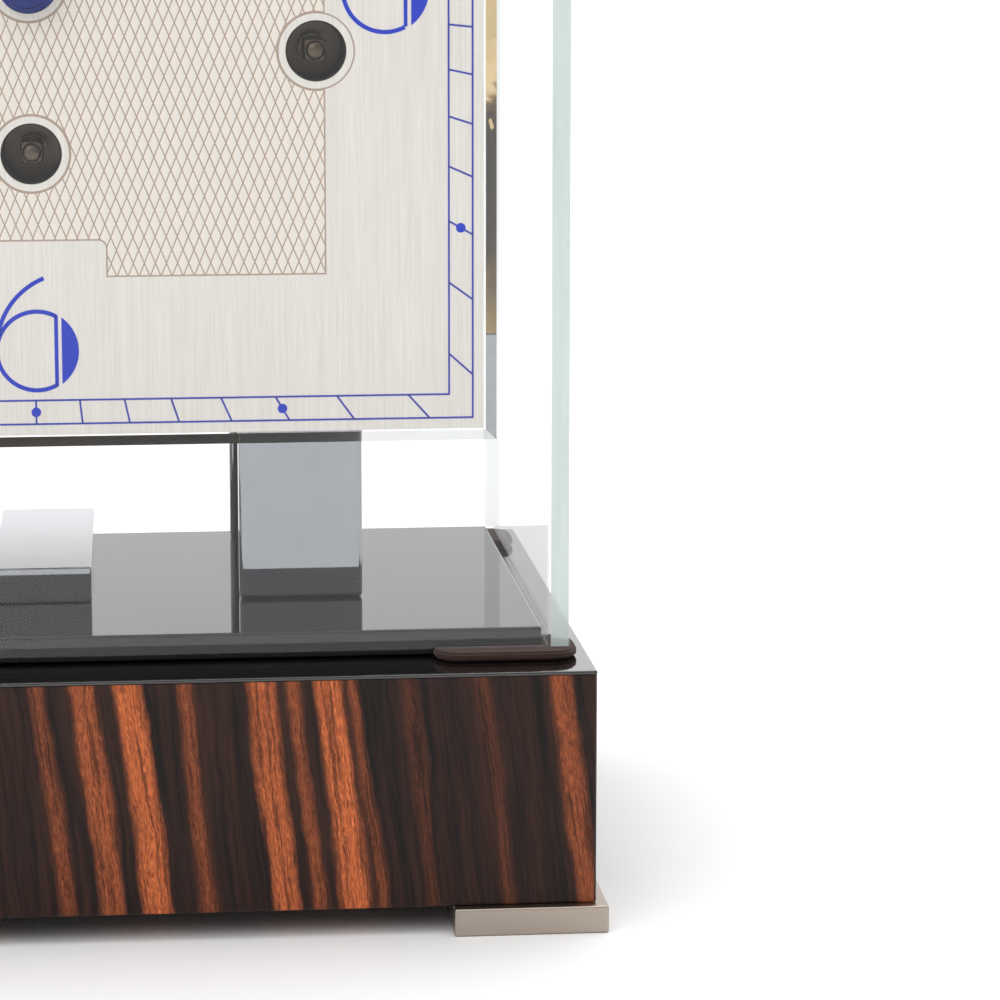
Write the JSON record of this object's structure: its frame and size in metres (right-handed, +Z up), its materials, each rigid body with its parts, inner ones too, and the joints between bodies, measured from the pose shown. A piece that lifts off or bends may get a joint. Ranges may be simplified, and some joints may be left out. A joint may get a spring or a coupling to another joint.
{
  "type": "mantel clock",
  "caption": "Square-dial mantel clock on chrome posts over a black slab, under a lift-off glass cover, on a gloss veneered base with metal feet.",
  "frame": {"origin": "middle of the four feet's undersides", "axes": "+Z up, the dial faces -Y, +X to the right as the dial is read"},
  "size_m": [0.2184, 0.1484, 0.2958],
  "materials": {
    "macassar_veneer": "high gloss over striped ebony veneer",
    "black_lacquer": "high gloss black lacquer",
    "brushed_nickel": "fine brushed",
    "brown_felt": "short dense felt",
    "cover_glass": "clear, polished edges",
    "bevelled_glass": "clear, ground and polished bevel",
    "black_glass": "mirror gloss black",
    "polished_chrome": "mirror polish",
    "satin_silver": "satin",
    "silvered_dial": "fine vertical brushing",
    "blued_steel": "polished and blued",
    "lacquered_brass": "polished",
    "polished_steel": "polished",
    "bell_metal": "polished"
  },
  "bodies": {
    "stand": {"base_bottom": "black_lacquer", "base_front": "macassar_veneer", "base_left": "macassar_veneer", "base_rear": "macassar_veneer", "base_right": "macassar_veneer", "base_top": "black_lacquer", "bell_1": "bell_metal", "bell_2": "bell_metal", "bell_3": "bell_metal", "bell_4": "bell_metal", "bell_rod": "polished_steel", "chime_frame": "polished_steel", "dial_glass": "bevelled_glass", "dial_plate": "silvered_dial", "escapement_platform": "lacquered_brass", "felt_pad_front_left": "brown_felt", "felt_pad_front_right": "brown_felt", "felt_pad_rear_left": "brown_felt", "felt_pad_rear_right": "brown_felt", "foot_front_left": "brushed_nickel", "foot_front_right": "brushed_nickel", "foot_rear_left": "brushed_nickel", "foot_rear_right": "brushed_nickel", "front_plate": "lacquered_brass", "hammer_arbor": "polished_steel", "pillar_lower_left": "lacquered_brass", "pillar_lower_right": "lacquered_brass", "pillar_upper_left": "lacquered_brass", "pillar_upper_right": "lacquered_brass", "post_front_left": "polished_chrome", "post_front_right": "polished_chrome", "post_rear_left": "polished_chrome", "post_rear_right": "polished_chrome", "rear_plate": "lacquered_brass", "stand_slab": "black_glass", "tie_bar": "satin_silver"},
    "cover": {"glass_front": "cover_glass", "glass_rear": "cover_glass", "glass_left": "cover_glass", "glass_right": "cover_glass", "glass_top": "cover_glass"},
    "minute_work": {"minute_hand": "blued_steel", "hand_nut": "polished_steel", "cannon_pinion": "polished_steel"},
    "hour_work": {"hour_hand": "blued_steel", "hour_wheel": "lacquered_brass"},
    "minute_wheel": {"minute_wheel": "lacquered_brass"},
    "centre_wheel": {"centre_wheel": "lacquered_brass"},
    "strike_barrel": {"strike_barrel": "lacquered_brass"},
    "going_barrel": {"going_barrel": "lacquered_brass"},
    "chime_barrel": {"chime_barrel": "lacquered_brass"},
    "strike_arbor": {"strike_winding_arbor": "polished_steel"},
    "going_arbor": {"going_winding_arbor": "polished_steel"},
    "chime_arbor": {"chime_winding_arbor": "polished_steel"},
    "balance": {"balance_wheel": "lacquered_brass"},
    "chime_drum": {"chime_drum": "lacquered_brass"},
    "hammer_1": {"hammer_1": "polished_steel"},
    "hammer_2": {"hammer_2": "polished_steel"},
    "hammer_3": {"hammer_3": "polished_steel"},
    "hammer_4": {"hammer_4": "polished_steel"}
  },
  "joints": [
    {"name": "cover_lift", "type": "slide", "parent": "stand", "child": "cover", "axis": [0, 0, 1], "range_m": [0, 0.26]},
    {"name": "minute_turn", "type": "hinge", "parent": "stand", "child": "minute_work", "pos_m": [0, 0, 0.1822], "axis": [0, 1, 0], "continuous": true},
    {"name": "hour_turn", "type": "hinge", "parent": "stand", "child": "hour_work", "pos_m": [0, 0, 0.1822], "axis": [0, 1, 0], "continuous": true},
    {"name": "minute_wheel_turn", "type": "hinge", "parent": "stand", "child": "minute_wheel", "pos_m": [0.012, 0, 0.1822], "axis": [0, 1, 0], "continuous": true},
    {"name": "going_barrel_turn", "type": "hinge", "parent": "stand", "child": "going_barrel", "pos_m": [0, 0, 0.1492], "axis": [0, 1, 0], "continuous": true},
    {"name": "centre_wheel_turn", "type": "hinge", "parent": "stand", "child": "centre_wheel", "pos_m": [0, 0, 0.1822], "axis": [0, 1, 0], "continuous": true},
    {"name": "strike_barrel_turn", "type": "hinge", "parent": "stand", "child": "strike_barrel", "pos_m": [-0.0555, 0, 0.1687], "axis": [0, 1, 0], "continuous": true},
    {"name": "chime_barrel_turn", "type": "hinge", "parent": "stand", "child": "chime_barrel", "pos_m": [0.0555, 0, 0.1687], "axis": [0, 1, 0], "continuous": true},
    {"name": "strike_winding", "type": "hinge", "parent": "stand", "child": "strike_arbor", "pos_m": [-0.0555, 0, 0.1687], "axis": [0, 1, 0], "continuous": true},
    {"name": "going_winding", "type": "hinge", "parent": "stand", "child": "going_arbor", "pos_m": [0, 0, 0.1492], "axis": [0, 1, 0], "continuous": true},
    {"name": "chime_winding", "type": "hinge", "parent": "stand", "child": "chime_arbor", "pos_m": [0.0555, 0, 0.1687], "axis": [0, 1, 0], "continuous": true},
    {"name": "balance_swing", "type": "hinge", "parent": "stand", "child": "balance", "pos_m": [0.046, 0.00975, 0.245], "axis": [0, 0, 1], "range_deg": [-220, 220]},
    {"name": "chime_drum_turn", "type": "hinge", "parent": "stand", "child": "chime_drum", "pos_m": [-0.015, 0.0475, 0.209], "axis": [1, 0, 0], "continuous": true},
    {"name": "hammer_1_lift", "type": "hinge", "parent": "stand", "child": "hammer_1", "pos_m": [-0.036, 0.0475, 0.23], "axis": [-1, 0, 0], "range_deg": [0, 12], "stiffness_Nm_per_rad": 0.02},
    {"name": "hammer_2_lift", "type": "hinge", "parent": "stand", "child": "hammer_2", "pos_m": [-0.022, 0.0475, 0.23], "axis": [-1, 0, 0], "range_deg": [0, 12], "stiffness_Nm_per_rad": 0.02},
    {"name": "hammer_3_lift", "type": "hinge", "parent": "stand", "child": "hammer_3", "pos_m": [-0.008, 0.0475, 0.23], "axis": [-1, 0, 0], "range_deg": [0, 12], "stiffness_Nm_per_rad": 0.02},
    {"name": "hammer_4_lift", "type": "hinge", "parent": "stand", "child": "hammer_4", "pos_m": [0.006, 0.0475, 0.23], "axis": [-1, 0, 0], "range_deg": [0, 12], "stiffness_Nm_per_rad": 0.02}
  ],
  "couplings": [
    {"joint": "hour_turn", "follows": "minute_turn", "ratio": 0.083333},
    {"joint": "minute_wheel_turn", "follows": "minute_turn", "ratio": -0.33333},
    {"joint": "centre_wheel_turn", "follows": "going_barrel_turn", "ratio": -6}
  ]
}
